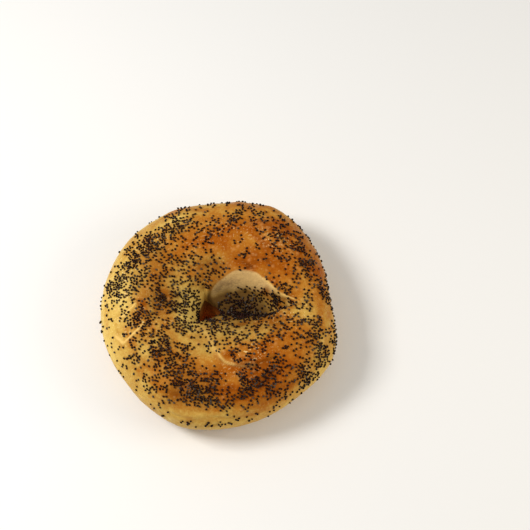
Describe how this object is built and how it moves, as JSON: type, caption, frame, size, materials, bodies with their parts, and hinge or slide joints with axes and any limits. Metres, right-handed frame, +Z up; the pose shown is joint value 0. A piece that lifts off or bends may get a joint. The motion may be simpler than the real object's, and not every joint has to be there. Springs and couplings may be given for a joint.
{
  "type": "poppy seed bagel",
  "caption": "Whole baked bagel, a ring of dough with a small, three-sided, leaning, off-centre hole and a deep fold on its right, poppy seeds on its upper crust, flat base.",
  "frame": {"origin": "on the table, under the middle of the bagel's box", "axes": "+Z up, the shortest way through the bagel, from its flat base to its seeded crust; +Y away from the eater, the longest way across; +X to the right, where the fold runs from the hole"},
  "size_m": [0.1109, 0.1136, 0.0375],
  "materials": {
    "crust": "baked bread crust, golden brown with pale sides, semi-gloss",
    "poppy_seed": "dry blue-black poppy seeds, faint sheen"
  },
  "bodies": {
    "root": {"bagel": "crust"}
  },
  "joints": []
}
